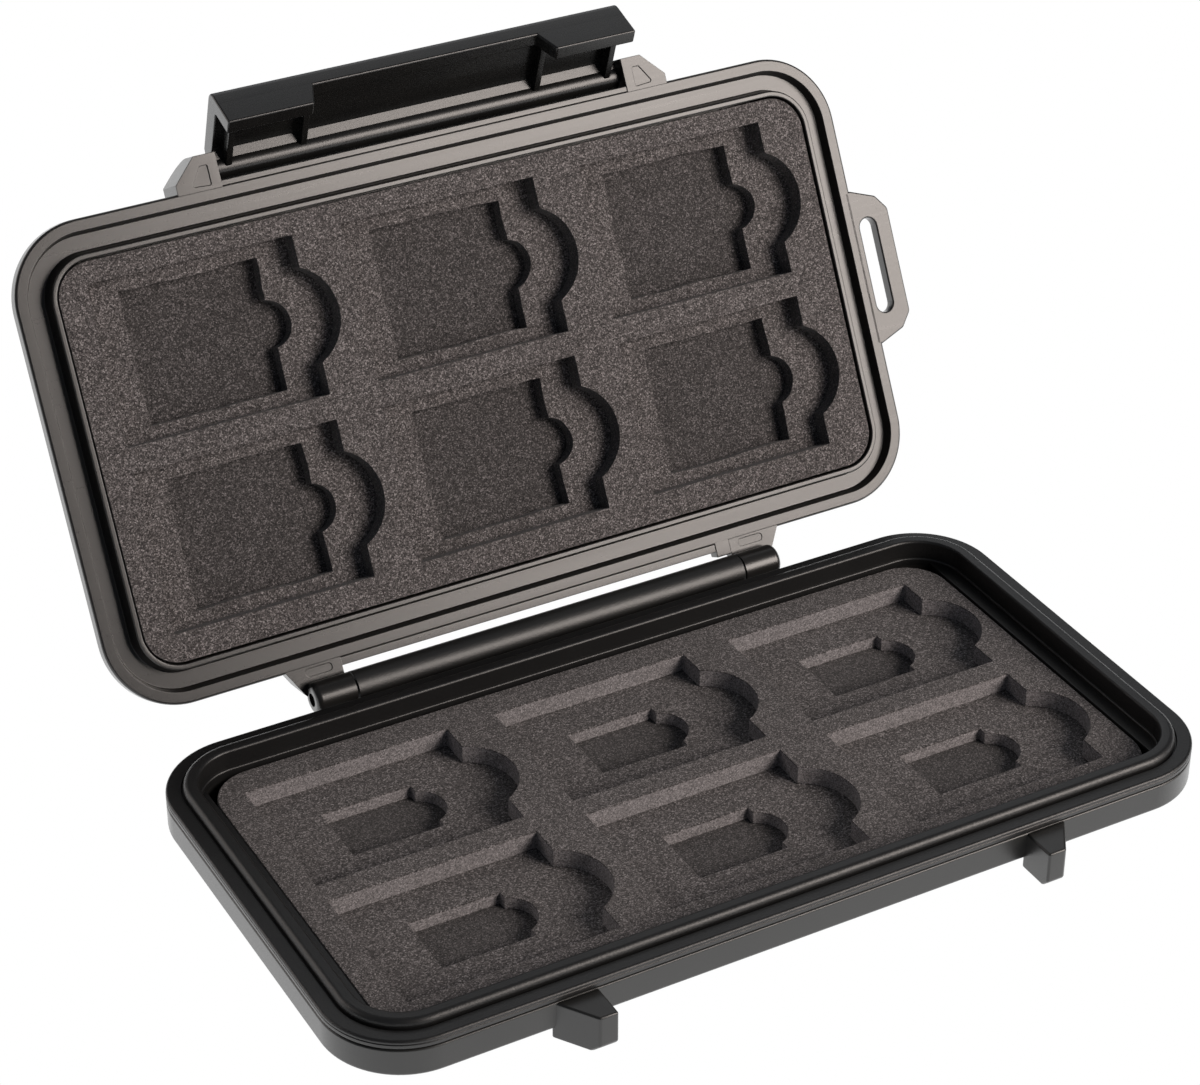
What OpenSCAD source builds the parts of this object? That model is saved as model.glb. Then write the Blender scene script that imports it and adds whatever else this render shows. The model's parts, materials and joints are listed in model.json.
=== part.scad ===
// Pocket case for small memory cards.
// A base tray and a lid tray, each with a die-cut foam insert, joined by a pin hinge.
// A flip latch on the lid hooks under the rim of the base.
// Origin: middle of the base's foot. X runs along the hinge, +Y to the hinge side, +Z up.
// The lid stands open here. Its shapes are written as if closed and then swung open.

/* [Case] */
// Length of the base over its rim
case_l = 137.2; // [136.2:1:160.2]
// Depth of the base over its rim, latch side to hinge side
case_w = 72.6; // [71.6:1:90.6]
// Radius of the base's corners in plan
corner_r = 12; // [10:0.5:14]
// Height of the base from its foot to the plane where the two halves part
base_h = 11; // [11:0.5:16]
// How far the lid's rim stays inside the base's rim, all round
lid_inset = 0.5; // [0.3:0.1:0.8]
// Gap between the two rims when the case is closed
rim_gap = 0.3; // [0.2:0.05:0.4]

/* [Base shell] */
// Thickness of the base's floor
base_floor = 2; // [1.2:0.1:2.5]
// Thickness of the base's side walls
base_wall = 1.2; // [1:0.1:1.6]
// Height of the rim flange's outer face
flange_h = 4.4; // [3.2:0.1:4.8]
// Width of the skirt that the flange turns down
skirt_w = 1.6; // [1.2:0.1:2.2]
// How far the skirt hangs below the underside of the flange
skirt_drop = 1; // [0.6:0.1:1.4]
// Inset of the foot from the rim, all round
foot_inset = 7.8; // [7:0.1:9]

/* [Rubber rim] */
// Height of the rubber band round the edge of the rim
band_h = 1.5; // [1.2:0.1:2.5]
// Width of the flat step outside the sealing bead
step_w = 2.2; // [2:0.1:2.8]
// Width of the sealing bead
bead_w = 2.2; // [1.8:0.1:2.4]
// Height of the sealing bead over the flat step
bead_h = 1.2; // [0.8:0.1:1.3]
// How deep the rubber lines the cavity, below the parting plane
lining_h = 3; // [2.6:0.1:4]
// Width of the rubber shelf at each short end of the cavity
shelf_w = 2; // [1:0.1:2.5]

/* [Lid shell] */
// Thickness of the lid's back
lid_floor = 1.4; // [1.2:0.1:2]
// Thickness of the lid's side walls
lid_wall = 1.5; // [1.2:0.1:2]
// Width of the flat rim round the lid
lid_rim_w = 1.85; // [1.5:0.05:2.2]
// Thickness of the lid's rim
lid_rim_t = 2.2; // [2:0.1:3]
// Depth of the channel that takes the sealing bead
channel_d = 1.6; // [1.55:0.05:2]
// Width of the channel at its floor
channel_w = 2.4; // [2.3:0.05:3]
// Draft of the channel's outer wall
channel_draft = 0.45; // [0.2:0.05:0.6]
// Width of the rib between the channel and the foam
rib_w = 1.2; // [1:0.05:1.4]
// How far the rib stands past the lid's rim
rib_h = 1; // [0.6:0.1:1.2]
// Width of the lip that widens the rim between the hinge arms
hinge_lip_w = 1.1; // [0.6:0.1:1.4]
// Width of the lip that widens the rim between the ears
latch_lip_w = 0.65; // [0.3:0.05:0.7]

/* [Card pockets] */
// Columns of pockets in each foam insert
pocket_cols = 3; // [1:1:3]
// Rows of pockets in each foam insert
pocket_rows = 2; // [1:1:2]
// Length of a large card
card_l = 32; // [28:0.5:32.4]
// Width of a large card
card_w = 24; // [20:0.5:24.5]
// How far the finger notch reaches past a large card
notch_d = 4.6; // [3:0.1:5]
// Width of the finger notch of a large card
notch_w = 14.3; // [11:0.1:16]
// Foam left between a finger notch and the next column
col_web = 3.3; // [2.5:0.1:3.6]
// Foam left between the two rows
row_web = 3.8; // [2:0.1:5]
// Length of the smallest cards, which go in the base
micro_l = 14.1; // [12:0.1:16]
// Width of the smallest cards
micro_w = 10.6; // [9:0.1:12]
// Length of the middle-sized cards, which go in the lid
mini_l = 21.7; // [19:0.1:22.5]
// Width of the middle-sized cards
mini_w = 19.8; // [18:0.1:20.5]
// Depth of the large pockets in the base
base_pocket_d = 3.1; // [2.5:0.1:3.2]
// Depth of the large pockets in the lid
lid_pocket_d = 3.4; // [2.5:0.1:3.6]
// Thickness of the foam sheet with the smallest pockets
micro_pocket_d = 2.1; // [1.5:0.1:2.2]
// Thickness of the foam sheet with the middle-sized pockets
mini_pocket_d = 2.5; // [1.5:0.1:2.8]
// Thickness of the plain foam sheet behind the pockets of the lid
lid_backing = 1.5; // [0.8:0.1:2]
// Gap round each foam insert
foam_gap = 0.3; // [0.2:0.05:0.5]

/* [Hinge] */
// Angle that the lid opens to, where its heels meet the back of the base's rim
lid_open = 118; // [90:1:125]
// Radius of the hinge barrel and of the lid's knuckles
barrel_r = 2.5; // [2.2:0.1:2.6]
// Length of the barrel, which belongs to the base
barrel_l = 66.2; // [50:0.2:80]
// Length of each lid knuckle
knuckle_l = 6.4; // [5:0.1:9]
// Gap between the rim of the base and the barrel
barrel_gap = 1.5; // [1.2:0.1:2]
// Height of the hinge axis below the parting plane
axis_drop = 1.1; // [0.8:0.1:1.4]
// Radius of the steel pins
pin_r = 1; // [0.7:0.05:1.1]
// Clearance round a pin where a part turns on it
pin_fit = 0.05; // [0.02:0.01:0.08]
// Gap between the ends of parts that turn against each other
end_gap = 0.3; // [0.2:0.05:0.5]

/* [Latch] */
// Length of the latch
latch_l = 66.8; // [50:0.2:80]
// Thickness of the latch plate
latch_t = 2.8; // [2:0.1:3]
// How far the latch plate's outer face lies from its pin
latch_out = 3.4; // [3:0.1:3.6]
// Gap between the hooks and the rim that they hold
hook_gap = 0.3; // [0.2:0.05:0.6]
// Angle that the latch stands away from its closed place
latch_open = 44; // [0:0.5:60]
// How far each hook reaches under the rim
hook_grip = 1.8; // [1:0.1:2.2]
// Length of each hook along the latch
hook_l = 13.5; // [8:0.5:18]
// Thickness of the hooks
hook_t = 2.3; // [1.8:0.1:2.9]
// Thickness of the two ribs and the two end walls inside the latch
latch_rib_t = 1; // [0.8:0.1:1.5]
// Thickness of the ears that carry the latch pin
ear_t = 6; // [5.8:0.1:6.6]
// Length of the ears' free ends
ear_tip_l = 3.4; // [3:0.1:5]

/* [Strap loop] */
// How far the strap loop stands out from the lid
loop_d = 6.2; // [5.6:0.1:8]
// Length of the strap slot
slot_l = 15.3; // [10:0.1:20]
// Width of the strap slot
slot_w = 3; // [2:0.1:3.4]
// Thickness of the strap loop
loop_t = 2; // [1.6:0.1:2.2]

/* [Hidden] */
$fn = 64;

// Half sizes of the base's rim and of the lid's rim
base_x = case_l / 2;
base_y = case_w / 2;
lid_x = base_x - lid_inset;
lid_y = base_y - lid_inset;
lid_r = corner_r - lid_inset;

// Heights in the base
shell_top = base_h - band_h;
flange_bot = shell_top - flange_h;
flange_under = flange_bot + skirt_drop;
lining_z = base_h - lining_h;
// Insets from the base's rim, going inwards
bead_out = step_w + 0.3;
bead_in = bead_out + bead_w;
cavity_in = bead_in + 0.3;
wall_out = cavity_in - base_wall;
// Where the shell stops and the lining of the cavity begins
lining_out = bead_in - 0.8;
// The rubber shelf and the foam just below it
shelf_z = lining_z + 0.6;
foam_top_z = shelf_z - 0.2;

// The base's foam, from the floor up
base_face_z = foam_top_z - base_pocket_d;
base_middle_z = base_face_z - micro_pocket_d;
base_foam_x = base_x - cavity_in - shelf_w - foam_gap;
base_foam_y = base_y - cavity_in - foam_gap;
base_foam_r = corner_r - cavity_in - foam_gap;
// The lower foam sheets step in, because the walls of the base lean in
sheet_step = 0.7;

// Heights in the lid, closed
rim_z = base_h + rim_gap;
channel_z = rim_z + channel_d;
rib_out = lid_rim_w + channel_draft + channel_w;
rib_in = rib_out + rib_w;
lid_wall_out = rib_in - lid_wall;
lid_foam_z = rim_z - 0.6;
lid_middle_z = lid_foam_z + lid_pocket_d;
lid_backing_z = lid_middle_z + mini_pocket_d;
lid_ceiling_z = lid_backing_z + lid_backing;
lid_top_z = lid_ceiling_z + lid_floor;
lid_foam_x = lid_x - rib_in - foam_gap;
lid_foam_y = lid_y - rib_in - foam_gap;
lid_foam_r = lid_r - rib_in - foam_gap;
lid_shoulder_z = channel_z + 1.2;

// Spacing of the pockets, and how far each grid sits off the middle of its foam
pitch_x = card_l + notch_d + col_web;
pitch_y = card_w + row_web;
grid_l = (pocket_cols - 1) * pitch_x + card_l + notch_d;
grid_w = (pocket_rows - 1) * pitch_y + card_w;
base_grid_dx = min(1.4, base_foam_x - grid_l / 2 - 1);
lid_grid_dx = min(0.8, lid_foam_x - grid_l / 2 - 1);
base_grid_dy = 0.3;
lid_grid_dy = -0.5;

// Small pockets, from the upper left corner of the large pocket that they lie in
micro_x = 8.9;
micro_y = 6.1;
micro_notch_d = 2.7;
micro_notch_w = 7.8;
mini_x = 5.3;
mini_y = 2.2;
mini_notch_d = 3;
mini_notch_w = 7.3;

// Guards on the base, one beside each end of the latch
guard_in = latch_l / 2 + 0.6;
guard_tip_l = 2.8;
guard_d = 5.4;
guard_z = 3.3;

// Hinge axis
axis_y = base_y + barrel_gap + barrel_r;
axis_z = base_h - axis_drop;
pin_bore_r = pin_r + pin_fit;
knuckle_in = barrel_l / 2 + end_gap;
knuckle_out = knuckle_in + knuckle_l;

// Latch pin and ears, closed
latch_r = 2.15;
latch_gap = 2;
ear_round = 2.4;
latch_pin_y = -base_y - latch_gap;
latch_pin_z = rim_z + ear_t - ear_round;
ear_in = latch_l / 2 + end_gap;
ear_out = ear_in + ear_tip_l;
ear_tip_y = latch_pin_y - ear_round;
latch_h = latch_pin_z - flange_bot + hook_gap + hook_t;
hook_y = latch_gap + hook_grip;

// Rounded rectangle in plan, from its half sizes
module plate2d(hx, hy, r) {
    square([2 * hx - 2 * r, 2 * hy], center = true);
    square([2 * hx, 2 * hy - 2 * r], center = true);
    for (sx = [-1, 1], sy = [-1, 1]) translate([sx * (hx - r), sy * (hy - r)]) circle(r);
}

// Flat slab of that outline between two heights
module slab(hx, hy, r, z0, z1) {
    translate([0, 0, z0]) linear_extrude(z1 - z0) plate2d(hx, hy, r);
}

// Sweeps a section round a rounded rectangle. In the section, x = 0 is the outline,
// minus x is inwards and y is the height.
module rim_sweep(hx, hy, r) {
    for (k = [0 : 3]) {
        out = k % 2 == 0 ? hx : hy;
        run = k % 2 == 0 ? hy : hx;
        rotate([0, 0, 90 * k]) translate([out, 0, 0]) rotate([90, 0, 0])
            linear_extrude(2 * (run - r), center = true) children();
    }
    for (k = [0 : 3]) {
        sx = k == 0 || k == 3 ? 1 : -1;
        sy = k < 2 ? 1 : -1;
        translate([sx * (hx - r), sy * (hy - r), 0]) rotate([0, 0, 90 * k])
            rotate_extrude(angle = 90) translate([r, 0]) children();
    }
}

// Points of a quarter turn, for rounding the corner of a section
function arc(cx, cy, r, a0, a1, n = 4) =
    [for (i = [0 : n]) let (a = a0 + (a1 - a0) * i / n) [cx + r * cos(a), cy + r * sin(a)]];

// One card pocket in plan, with a round finger notch on its right side
module pocket2d(l, w, nd, nw) {
    r = (nw * nw / 4 + nd * nd) / (2 * nd);
    translate([0, -w]) square([l, w]);
    translate([l + nd - r, -w / 2]) circle(r);
}

// Repeats a pocket over the grid. The first one is at the top left in plan.
module over_grid(dx, dy) {
    for (i = [0 : pocket_cols - 1], j = [0 : pocket_rows - 1])
        translate([dx - grid_l / 2 + i * pitch_x, dy + grid_w / 2 - j * pitch_y]) children();
}

// Swings a closed lid part to the open rest pose
module swing_open() {
    translate([0, axis_y, axis_z]) rotate([-lid_open, 0, 0]) translate([0, -axis_y, -axis_z])
        children();
}

// A round bar or bore along X, centred on x = 0
module x_rod(r, l) {
    rotate([0, 90, 0]) cylinder(r = r, h = l, center = true);
}

// Section of the base's wall: skirted flange at the top, then a wall that leans in to the foot
module base_section() {
    edge = 0.6;
    polygon(concat(
        [[-cavity_in, lining_z], [-lining_out, lining_z], [-lining_out, shell_top],
         [-0.15, shell_top], [0, shell_top - 0.15]],
        arc(-edge, flange_bot + edge, edge, 0, -90),
        [[-skirt_w, flange_bot], [-skirt_w, flange_under], [-wall_out, flange_under],
         [-wall_out - 0.2, base_face_z], [-wall_out - 1.1, base_floor + 0.4],
         [-foot_inset + 0.6, 0.4], [-foot_inset, 0], [-foot_inset - 1.5, 0],
         [-foot_inset - 1.5, base_floor], [-cavity_in - sheet_step * 2, base_floor],
         [-cavity_in - sheet_step, base_middle_z], [-cavity_in, base_face_z]]));
}

// Fills both short ends of the cavity between two heights, out to the given inset
module cavity_ends(inset, z0, z1) {
    intersection() {
        slab(base_x - inset, base_y - inset, corner_r - inset, z0, z1);
        for (side = [-1, 1]) translate([side * (base_foam_x + foam_gap + 5), 0, (z0 + z1) / 2])
            cube([10, case_w, z1 - z0 + 1], center = true);
    }
}

// Extrudes a plan outline and trims it with a side view, given as [y, z] points
module trimmed(z0, z1, plan, side) {
    reach = 200;
    intersection() {
        translate([0, 0, z0]) linear_extrude(z1 - z0) polygon(plan);
        translate([-reach / 2, 0, 0]) rotate([90, 0, 90]) linear_extrude(reach) polygon(side);
    }
}

// Guard beside the latch on the front of the base, here on the right
module latch_guard() {
    root_y = 0.6 - base_y;
    front_y = -base_y - guard_d;
    trimmed(guard_z, shell_top - 0.1,
        [[guard_in, root_y], [guard_in, front_y], [guard_in + guard_tip_l, front_y],
         [guard_in + guard_tip_l + 4, root_y]],
        [[root_y, shell_top - 0.1], [front_y + 0.4, shell_top - 0.1], [front_y, shell_top - 0.5],
         [front_y, guard_z + 1.2], [front_y + 1.2, guard_z], [root_y, guard_z]]);
}

module base_shell() {
    color([0.16, 0.16, 0.17]) difference() {
        union() {
            rim_sweep(base_x, base_y, corner_r) base_section();
            slab(base_x - foot_inset - 1, base_y - foot_inset - 1, corner_r - foot_inset - 1,
                0, base_floor);
            cavity_ends(cavity_in - 0.3, base_floor - 0.2, lining_z);
            // Barrel of the hinge, on its web
            translate([0, axis_y, axis_z]) x_rod(barrel_r, barrel_l);
            translate([-barrel_l / 2, base_y - 1, flange_bot + 1])
                cube([barrel_l, axis_y - base_y + 1, shell_top - flange_bot - 1.3]);
            latch_guard();
            mirror([1, 0, 0]) latch_guard();
        }
        translate([0, axis_y, axis_z]) x_rod(pin_bore_r, barrel_l + 2);
    }
}

// Section of the rubber rim: outer band, flat step, sealing bead and lining of the cavity
module rubber_section() {
    edge = 0.45;
    round = 0.9;
    polygon(concat(
        [[-lining_out, shell_top], [0, shell_top], [0, base_h - edge - 0.2],
         [-0.15, base_h - edge - 0.1]],
        arc(-edge, base_h - edge, edge, 0, 90),
        [[-step_w, base_h], [-step_w - 0.1, base_h - 0.3], [-bead_out, base_h - 0.3]],
        arc(-bead_out - round, base_h + bead_h - round, round, 0, 90),
        [[-bead_in + 0.1, base_h + bead_h], [-bead_in, base_h + bead_h - 0.1],
         [-bead_in, lining_z + 1.2], [-cavity_in + 0.1, lining_z + 1.1],
         [-cavity_in, lining_z + 1], [-cavity_in, lining_z], [-lining_out, lining_z]]));
}

module rubber_rim() {
    color([0.1, 0.1, 0.1]) {
        rim_sweep(base_x, base_y, corner_r) rubber_section();
        cavity_ends(cavity_in - 0.2, lining_z, shelf_z);
    }
}

// One sheet of the base's foam, drawn in by a step from the widest one
module base_sheet(step, z0, z1) {
    slab(base_foam_x - step, base_foam_y - step, base_foam_r - step, z0, z1);
}

module base_foam_back() {
    color([0.2, 0.2, 0.2]) base_sheet(2 * sheet_step, base_floor, base_middle_z);
}

module base_foam_middle() {
    color([0.22, 0.22, 0.22]) difference() {
        base_sheet(sheet_step, base_middle_z, base_face_z);
        over_grid(base_grid_dx, base_grid_dy) translate([micro_x, -micro_y, base_middle_z - 1])
            linear_extrude(micro_pocket_d + 2) pocket2d(micro_l, micro_w, micro_notch_d, micro_notch_w);
    }
}

module base_foam_face() {
    color([0.25, 0.24, 0.23]) difference() {
        base_sheet(0, base_face_z, foam_top_z);
        over_grid(base_grid_dx, base_grid_dy) translate([0, 0, base_face_z - 1])
            linear_extrude(base_pocket_d + 2) pocket2d(card_l, card_w, notch_d, notch_w);
    }
}

// Section of the lid's wall, closed: flat rim, channel for the bead, rib, then the side wall
module lid_section() {
    edge = 0.4;
    round = 3;
    rib_z = rim_z - rib_h;
    side = lid_wall_out + 0.3 + round;
    polygon(concat(
        arc(-edge, rim_z + edge, edge, 0, -90),
        [[-lid_rim_w, rim_z], [-lid_rim_w - channel_draft, channel_z], [-rib_out, channel_z],
         [-rib_out - 0.35, rib_z + 0.2], [-rib_out - 0.55, rib_z], [-rib_in + 0.15, rib_z],
         [-rib_in, rib_z + 0.15], [-rib_in, lid_ceiling_z], [-rib_in - 3, lid_ceiling_z],
         [-rib_in - 3, lid_top_z]],
        arc(-side, lid_top_z - round, round, 90, 0, 6),
        [[-lid_wall_out, lid_shoulder_z], [-lid_rim_w, lid_shoulder_z]],
        arc(-edge, rim_z + lid_rim_t - edge, edge, 90, 0)));
}

// Ear for the latch pin on the front of the lid, closed, here on the right
module latch_ear() {
    root_y = 0.3 - lid_y;
    top_z = rim_z + ear_t;
    trimmed(rim_z, top_z,
        [[ear_in, root_y], [ear_in, ear_tip_y], [ear_out, ear_tip_y], [ear_out + 3.6, root_y]],
        concat([[root_y, rim_z], [ear_tip_y, rim_z]],
            [for (q = arc(-latch_pin_y, latch_pin_z, ear_round, 0, 90, 8)) [-q[0], q[1]]],
            [[root_y, top_z]]));
}

// Three-sided recess in the face of an ear, here on the right
module ear_recess() {
    translate([ear_in + 1.6, -lid_y, rim_z - 1]) linear_extrude(1.3)
        polygon([[0, -0.3], [0, -3.3], [1.2, -3.3], [3, -0.5], [2.6, -0.1]]);
}

// Lips that widen the rim between the ears and between the hinge arms, closed
module lid_lips() {
    drop = 0.15;
    root = 0.6;
    translate([-ear_in - 0.5, -lid_y - latch_lip_w, rim_z + drop])
        cube([2 * ear_in + 1, latch_lip_w + root, lid_rim_t - drop]);
    translate([-knuckle_in - 0.5, lid_y - root, rim_z + drop])
        cube([2 * knuckle_in + 1, hinge_lip_w + root, lid_rim_t - drop]);
}

// Arm and knuckle of the lid's side of the hinge, closed, here on the right
module hinge_arm() {
    root_y = lid_y - 0.3;
    trimmed(rim_z, rim_z + lid_rim_t,
        [[knuckle_in, root_y], [knuckle_in, axis_y], [knuckle_out - 0.3, axis_y],
         [knuckle_out + 0.4, axis_y - 0.9], [knuckle_out + 2.6, root_y]],
        [[root_y, rim_z - 0.1], [root_y, rim_z + lid_rim_t], [axis_y - 2.6, rim_z + lid_rim_t],
         [axis_y, axis_z + barrel_r], [axis_y, rim_z - 0.1]]);
    translate([knuckle_in, axis_y, axis_z]) rotate([0, 90, 0]) rotate_extrude()
        polygon(concat([[0, 0], [barrel_r, 0]],
            arc(barrel_r - 0.9, knuckle_l - 0.9, 0.9, 0, 90), [[0, knuckle_l]]));
    // Heel that meets the back of the base's rim when the lid is fully open
    translate([knuckle_in, axis_y, axis_z]) rotate([lid_open, 0, 0])
        translate([0, 0.05 - barrel_gap - barrel_r, -1.8]) cube([knuckle_l - 1, barrel_r + 1, 1.7]);
}

// Loop for a wrist strap on the right end of the lid, closed
module strap_loop() {
    end_y = slot_l / 2 + 4.7;
    difference() {
        translate([lid_x, 0, rim_z]) linear_extrude(loop_t) polygon([
            [-1, -end_y], [0.1, -end_y], [loop_d - 1.8, 1.6 - end_y], [loop_d, 3.9 - end_y],
            [loop_d, end_y - 3.9], [loop_d - 1.8, end_y - 1.6], [0.1, end_y], [-1, end_y]]);
        translate([lid_x + 0.5 + slot_w / 2, 0, rim_z - 1]) linear_extrude(loop_t + 2) {
            square([slot_w, slot_l - slot_w], center = true);
            for (end = [-1, 1]) translate([0, end * (slot_l - slot_w) / 2]) circle(slot_w / 2);
        }
    }
}

module lid_shell() {
    blind = 1;
    color([0.2, 0.2, 0.21]) swing_open() difference() {
        union() {
            rim_sweep(lid_x, lid_y, lid_r) lid_section();
            slab(lid_x - rib_in - 2, lid_y - rib_in - 2, lid_r - rib_in - 2, lid_ceiling_z, lid_top_z);
            for (side = [0, 1]) mirror([side, 0, 0]) {
                latch_ear();
                hinge_arm();
            }
            lid_lips();
            // Small block beside the right-hand arm
            translate([knuckle_in - 2.5, lid_y - 0.5, rim_z]) cube([2.6, 2.5, lid_rim_t]);
            strap_loop();
        }
        for (side = [0, 1]) mirror([side, 0, 0]) ear_recess();
        // The hinge pin goes in from the left and the latch pin from the right. Each hole is blind
        // at its other end.
        translate([-blind, axis_y, axis_z]) x_rod(pin_bore_r, 2 * knuckle_out + 2 * blind - 2);
        translate([blind, latch_pin_y, latch_pin_z]) x_rod(pin_bore_r, 2 * ear_out + 2 * blind - 2);
    }
}

// One sheet of the lid's foam, closed
module lid_sheet(z0, z1) {
    slab(lid_foam_x, lid_foam_y, lid_foam_r, z0, z1);
}

module lid_foam_back() {
    color([0.2, 0.2, 0.2]) swing_open() lid_sheet(lid_backing_z, lid_ceiling_z);
}

// The lid's pockets are laid out from its front edge, so the grid is turned over
module over_lid_grid() {
    mirror([0, 1, 0]) over_grid(lid_grid_dx, -lid_grid_dy) children();
}

module lid_foam_middle() {
    color([0.22, 0.22, 0.22]) swing_open() difference() {
        lid_sheet(lid_middle_z, lid_backing_z);
        over_lid_grid() translate([mini_x, -mini_y, lid_middle_z - 1])
            linear_extrude(mini_pocket_d + 2) pocket2d(mini_l, mini_w, mini_notch_d, mini_notch_w);
    }
}

module lid_foam_face() {
    color([0.25, 0.24, 0.23]) swing_open() difference() {
        lid_sheet(lid_foam_z, lid_middle_z);
        over_lid_grid() translate([0, 0, lid_foam_z - 1])
            linear_extrude(lid_pocket_d + 2) pocket2d(card_l, card_w, notch_d, notch_w);
    }
}

module hinge_pin() {
    color([0.6, 0.6, 0.62]) translate([-0.2, axis_y, axis_z]) x_rod(pin_r, 2 * knuckle_out - 2.2);
}

module latch_pin() {
    color([0.6, 0.6, 0.62]) swing_open() translate([0.2, latch_pin_y, latch_pin_z])
        x_rod(pin_r, 2 * ear_out - 2.2);
}

// Hook on the free end of the latch, here on the right. The pin is at the origin, the latch closed.
module latch_hook() {
    root_x = latch_l / 2 - hook_l - 1.7;
    trimmed(-latch_h, hook_t - latch_h,
        [[root_x, -0.5], [root_x + 1.7, hook_y], [latch_l / 2, hook_y], [latch_l / 2, -0.5]],
        [[-0.5, -latch_h], [hook_y - 0.3, -latch_h], [hook_y, 0.3 - latch_h],
         [hook_y, hook_t - latch_h - 0.2], [hook_y - 0.2, hook_t - latch_h], [-0.5, hook_t - latch_h]]);
}

module latch() {
    inner_y = latch_t - latch_out;
    lip_z = hook_t - latch_h;
    slope_z = -3;
    round = 1;
    color([0.13, 0.13, 0.14]) swing_open() translate([0, latch_pin_y, latch_pin_z])
        rotate([-latch_open, 0, 0]) difference() {
            union() {
                x_rod(latch_r, latch_l);
                // Plate with a low lip at its free end, and a slope up to the tube at the pin
                translate([-latch_l / 2, 0, 0]) rotate([90, 0, 90]) linear_extrude(latch_l)
                    polygon(concat([[-0.7 * latch_r, 0.7 * latch_r], [-latch_out, -1.2]],
                        arc(round - latch_out, round - latch_h, round, 180, 270),
                        [[inner_y + 0.3, -latch_h], [inner_y + 0.6, 0.3 - latch_h],
                         [inner_y + 0.6, lip_z - 0.3], [inner_y + 0.3, lip_z], [inner_y, lip_z],
                         [inner_y, slope_z], [0.93 * latch_r, -0.35 * latch_r], [0, 0]]));
                for (side = [0, 1]) mirror([side, 0, 0]) {
                    latch_hook();
                    // Rib behind the inner end of the hook, and end wall behind its outer end
                    translate([latch_l / 2 - hook_l - latch_rib_t, inner_y - 0.3, lip_z - 0.2])
                        cube([latch_rib_t, 2, -lip_z - 1]);
                    translate([latch_l / 2 - 1.4 - latch_rib_t, inner_y - 0.3, lip_z - 0.2])
                        cube([latch_rib_t, latch_gap - inner_y - 0.2, -lip_z]);
                }
            }
            x_rod(pin_bore_r, latch_l + 2);
        }
}

base_shell();
rubber_rim();
base_foam_back();
base_foam_middle();
base_foam_face();
lid_shell();
lid_foam_back();
lid_foam_middle();
lid_foam_face();
hinge_pin();
latch();
latch_pin();
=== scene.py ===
# Looks of an open memory card case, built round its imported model.
# Pieces are modelled in millimetres with the case shut, then put in place in metres.

import json
import math

import bpy
from mathutils import Matrix, Vector, noise

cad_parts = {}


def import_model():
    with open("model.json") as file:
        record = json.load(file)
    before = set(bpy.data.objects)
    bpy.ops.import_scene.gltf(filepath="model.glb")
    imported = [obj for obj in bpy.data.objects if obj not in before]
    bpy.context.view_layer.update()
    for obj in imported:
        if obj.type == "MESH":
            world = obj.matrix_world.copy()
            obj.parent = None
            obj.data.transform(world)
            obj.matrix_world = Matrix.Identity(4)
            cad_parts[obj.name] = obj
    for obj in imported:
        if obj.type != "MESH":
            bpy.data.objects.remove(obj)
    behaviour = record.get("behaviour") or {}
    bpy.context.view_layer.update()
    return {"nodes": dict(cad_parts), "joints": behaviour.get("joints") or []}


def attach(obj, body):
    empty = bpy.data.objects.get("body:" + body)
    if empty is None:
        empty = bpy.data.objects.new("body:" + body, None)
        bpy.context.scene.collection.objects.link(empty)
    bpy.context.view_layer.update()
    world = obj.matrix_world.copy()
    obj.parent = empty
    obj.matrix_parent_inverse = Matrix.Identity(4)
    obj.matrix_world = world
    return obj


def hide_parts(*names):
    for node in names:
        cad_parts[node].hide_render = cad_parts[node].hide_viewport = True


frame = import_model()

MM = 0.001

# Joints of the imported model, which say how far the lid and the latch stand open
joints = {joint["name"]: joint for joint in frame["joints"]}
HINGE = Vector(joints["lid_hinge"]["pos_m"]) / MM
LID_OPEN = math.radians(joints["lid_hinge"]["range_deg"][1])
LATCH_OPEN = math.radians(joints["latch_hinge"]["range_deg"][1])


def turned_about(pivot, angle):
    """The turn about a line along X through a point."""
    return Matrix.Translation(pivot) @ Matrix.Rotation(angle, 4, "X") @ Matrix.Translation(-pivot)


IN_PLACE = Matrix.Identity(4)
LID_SWING = turned_about(HINGE, -LID_OPEN)
LATCH_PIN = LID_SWING.inverted() @ (Vector(joints["latch_hinge"]["pos_m"]) / MM)
LATCH_SWING = LID_SWING @ Matrix.Translation(LATCH_PIN) @ Matrix.Rotation(-LATCH_OPEN, 4, "X")


def shut_box(node, swing=IN_PLACE):
    """Lowest and highest corner of a CAD node with the case shut, in millimetres."""
    back = swing.inverted()
    corners = [back @ (vertex.co / MM) for vertex in frame["nodes"][node].data.vertices]
    low = Vector([min(corner[axis] for corner in corners) for axis in range(3)])
    high = Vector([max(corner[axis] for corner in corners) for axis in range(3)])
    return low, high


rubber_low, rubber_high = shut_box("rubber_rim")
base_face_low, base_face_high = shut_box("base_foam_face")
base_middle_low, base_middle_high = shut_box("base_foam_middle")
base_back_low, base_back_high = shut_box("base_foam_back")
lid_face_low, lid_face_high = shut_box("lid_foam_face", LID_SWING)
lid_middle_low, lid_middle_high = shut_box("lid_foam_middle", LID_SWING)
lid_back_low, lid_back_high = shut_box("lid_foam_back", LID_SWING)
latch_low, latch_high = shut_box("latch", LATCH_SWING)
hinge_pin_low, hinge_pin_high = shut_box("hinge_pin")
latch_pin_low, latch_pin_high = shut_box("latch_pin", LID_SWING)

# Plan of the two rims
CASE_X = rubber_high.x
CASE_Y = rubber_high.y
CORNER_R = 12
LID_INSET = 0.5
LID_X = CASE_X - LID_INSET
LID_Y = CASE_Y - LID_INSET
LID_R = CORNER_R - LID_INSET
CORNER_STEPS = 24

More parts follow.
